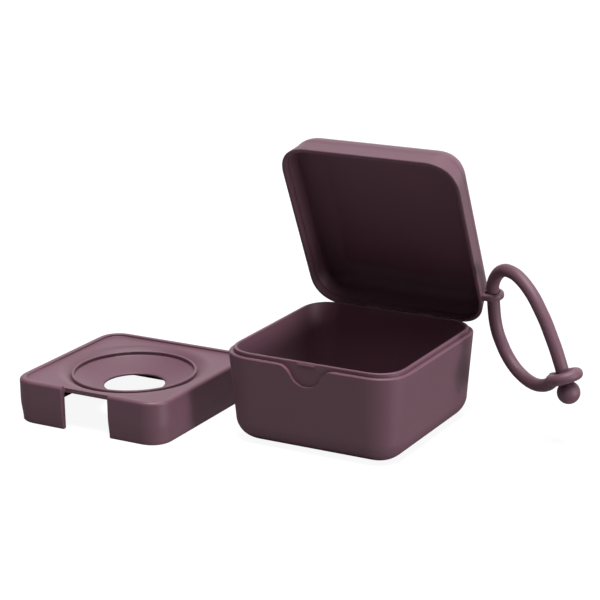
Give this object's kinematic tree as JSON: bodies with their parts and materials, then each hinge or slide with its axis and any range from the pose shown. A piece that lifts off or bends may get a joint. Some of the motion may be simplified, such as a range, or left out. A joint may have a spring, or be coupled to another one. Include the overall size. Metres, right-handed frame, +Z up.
{
  "type": "pacifier box",
  "caption": "Square rounded box with a hinged lid, a looped strap on an eyelet and a loose steriliser insert.",
  "frame": {"origin": "centre of the base's flat underside", "axes": "+Z up, -Y towards the front with the thumb scoop, +X towards the eyelet and strap"},
  "size_m": [0.2097, 0.1093, 0.1082],
  "materials": {
    "plum_plastic": "matte, lightly frosted, dusty plum",
    "plum_silicone": "soft matte silicone, dusty plum"
  },
  "bodies": {
    "box": {"base_shell": "plum_plastic"},
    "lid": {"lid_shell": "plum_plastic"},
    "strap": {"strap_cord": "plum_silicone", "strap_ring": "plum_silicone", "strap_ball": "plum_silicone"},
    "insert": {"insert_tray": "plum_plastic"}
  },
  "joints": [
    {"name": "lid_hinge", "type": "hinge", "parent": "box", "child": "lid", "pos_m": [0, 0.0391, 0.03385], "axis": [-1, 0, 0], "range_deg": [-66.1, 44]},
    {"name": "strap_swing", "type": "hinge", "parent": "lid", "child": "strap", "pos_m": [0.0414, 0.03951, 0.04847], "axis": [0, -0.1547, 0.988], "range_deg": [-5, 35]},
    {"name": "insert_lift", "type": "slide", "parent": "box", "child": "insert", "axis": [0, 0, 1], "range_m": [0, 0.05]}
  ]
}
